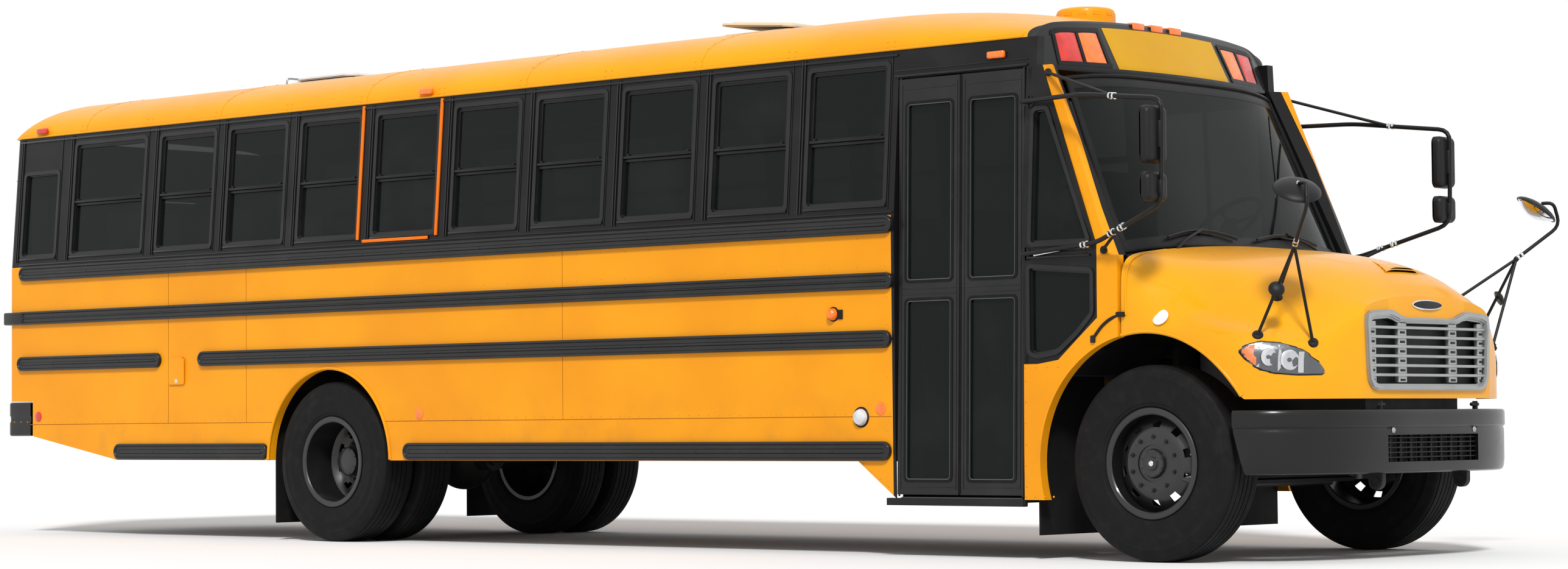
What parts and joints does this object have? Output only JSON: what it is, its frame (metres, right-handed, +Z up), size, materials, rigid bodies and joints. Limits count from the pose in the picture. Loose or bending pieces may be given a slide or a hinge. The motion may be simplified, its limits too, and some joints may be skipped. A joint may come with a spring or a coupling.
{
  "type": "school bus",
  "caption": "Yellow bonneted school bus with twin rear wheels, entrance leaves, tilting hood, roof hatches, rear door and stop arm that move.",
  "frame": {"origin": "on the ground under the middle of the bus's bounding box", "axes": "+X forward, +Y to the bus's left, +Z up"},
  "size_m": [11.2513, 3.084, 3.2801],
  "materials": {
    "body_yellow": "gloss",
    "body_black": "gloss",
    "chassis_black": "satin",
    "engine_iron": "satin",
    "steel": "satin",
    "rubber": "matte",
    "tyre": "matte",
    "floor_grey": "matte",
    "glass": "polished",
    "lamp": "gloss",
    "headlamp": "gloss",
    "grille": "satin",
    "mirror_black": "satin",
    "dash": "matte",
    "seat": "satin",
    "hatch": "satin",
    "stop_red": "gloss"
  },
  "bodies": {
    "body": {"frame_rails": "chassis_black", "engine": "engine_iron", "radiator": "chassis_black", "front_axle": "chassis_black", "rear_axle": "chassis_black", "leaf_springs": "chassis_black", "drive_shaft": "steel", "exhaust": "steel", "fuel_tank": "chassis_black", "front_bumper": "chassis_black", "rear_bumper": "chassis_black", "mud_flaps": "rubber", "floor": "floor_grey", "entrance_steps": "chassis_black", "right_wall": "body_yellow", "left_wall": "body_yellow", "rear_wall": "body_yellow", "roof": "body_yellow", "front_cap": "body_black", "windshield_frame": "body_black", "cowl": "chassis_black", "body_glass": "glass", "rub_rails": "body_black", "body_lamps": "lamp", "side_mirrors": "mirror_black", "dashboard": "dash", "driver_seat": "seat", "passenger_seats": "seat", "roof_fittings": "hatch", "stop_arm_bracket": "chassis_black"},
    "hood": {"hood": "body_yellow", "grille": "grille", "headlamps": "headlamp", "crossview_mirrors": "mirror_black"},
    "left_knuckle": {"left_knuckle": "steel"},
    "right_knuckle": {"right_knuckle": "steel"},
    "tie_rod": {"tie_rod": "steel"},
    "front_left_wheel": {"front_left_tyre": "tyre", "front_left_rim": "chassis_black"},
    "front_right_wheel": {"front_right_tyre": "tyre", "front_right_rim": "chassis_black"},
    "rear_left_wheels": {"rear_left_tyres": "tyre", "rear_left_rims": "chassis_black"},
    "rear_right_wheels": {"rear_right_tyres": "tyre", "rear_right_rims": "chassis_black"},
    "entrance_rear_leaf": {"entrance_leaf_rear": "body_black", "entrance_glass_rear": "glass"},
    "entrance_front_leaf": {"entrance_leaf_front": "body_black", "entrance_glass_front": "glass"},
    "rear_door": {"rear_door": "body_yellow", "rear_door_glass": "glass"},
    "front_hatch": {"front_hatch_lid": "hatch"},
    "rear_hatch": {"rear_hatch_lid": "hatch"},
    "stop_arm": {"stop_arm": "stop_red"},
    "steering_wheel": {"steering_wheel": "dash"},
    "fuel_door": {"fuel_door": "body_yellow"}
  },
  "joints": [
    {"name": "hood_tilt", "type": "hinge", "parent": "body", "child": "hood", "pos_m": [5.517, 0, 0.828], "axis": [0, 1, 0], "range_deg": [0, 55]},
    {"name": "steer_left", "type": "hinge", "parent": "body", "child": "left_knuckle", "pos_m": [4.517, 0.87, 0.525], "axis": [0, 0, 1], "range_deg": [-45, 45]},
    {"name": "steer_right", "type": "hinge", "parent": "body", "child": "right_knuckle", "pos_m": [4.517, -0.87, 0.525], "axis": [0, 0, 1], "range_deg": [-45, 45]},
    {"name": "tie_rod_swing", "type": "hinge", "parent": "left_knuckle", "child": "tie_rod", "pos_m": [4.332, 0.87, 0.425], "axis": [0, 0, 1], "range_deg": [-45, 45]},
    {"name": "steering_wheel_turn", "type": "hinge", "parent": "body", "child": "steering_wheel", "pos_m": [3.827, 0.6, 1.9], "axis": [-0.6157, 0, 0.788], "range_deg": [-720, 720]},
    {"name": "front_left_spin", "type": "hinge", "parent": "left_knuckle", "child": "front_left_wheel", "pos_m": [4.517, 1.025, 0.525], "axis": [0, 1, 0], "continuous": true},
    {"name": "front_right_spin", "type": "hinge", "parent": "right_knuckle", "child": "front_right_wheel", "pos_m": [4.517, -1.025, 0.525], "axis": [0, 1, 0], "continuous": true},
    {"name": "rear_left_spin", "type": "hinge", "parent": "body", "child": "rear_left_wheels", "pos_m": [-2.062, 0.8915, 0.525], "axis": [0, 1, 0], "continuous": true},
    {"name": "rear_right_spin", "type": "hinge", "parent": "body", "child": "rear_right_wheels", "pos_m": [-2.062, -0.8915, 0.525], "axis": [0, 1, 0], "continuous": true},
    {"name": "entrance_front_swing", "type": "hinge", "parent": "body", "child": "entrance_front_leaf", "pos_m": [3.701, -1.18605, 1.44954], "axis": [0, 0.0227, 0.9997], "range_deg": [0, 90]},
    {"name": "entrance_rear_swing", "type": "hinge", "parent": "body", "child": "entrance_rear_leaf", "pos_m": [2.822, -1.18605, 1.44954], "axis": [0, 0.0227, 0.9997], "range_deg": [-90, 0]},
    {"name": "rear_door_swing", "type": "hinge", "parent": "body", "child": "rear_door", "pos_m": [-5.6113, -0.488, 1.75], "axis": [0, 0, 1], "range_deg": [0, 110]},
    {"name": "front_hatch_lift", "type": "hinge", "parent": "body", "child": "front_hatch", "pos_m": [1.207, 0, 3.2003], "axis": [0, 1, 0], "range_deg": [-5, 55]},
    {"name": "rear_hatch_lift", "type": "hinge", "parent": "body", "child": "rear_hatch", "pos_m": [-2.892, 0, 3.2003], "axis": [0, 1, 0], "range_deg": [0, 60]},
    {"name": "stop_arm_swing", "type": "hinge", "parent": "body", "child": "stop_arm", "pos_m": [2.427, 1.268, 1.7], "axis": [0, 0, -1], "range_deg": [0, 90]},
    {"name": "fuel_door_swing", "type": "hinge", "parent": "body", "child": "fuel_door", "pos_m": [-3.64, -1.2243, 1.24], "axis": [-1, 0, 0], "range_deg": [0, 100]}
  ],
  "couplings": [
    {"joint": "steer_right", "follows": "steer_left", "ratio": 1},
    {"joint": "tie_rod_swing", "follows": "steer_left", "ratio": -1},
    {"joint": "steering_wheel_turn", "follows": "steer_left", "ratio": 16},
    {"joint": "entrance_rear_swing", "follows": "entrance_front_swing", "ratio": -1}
  ]
}
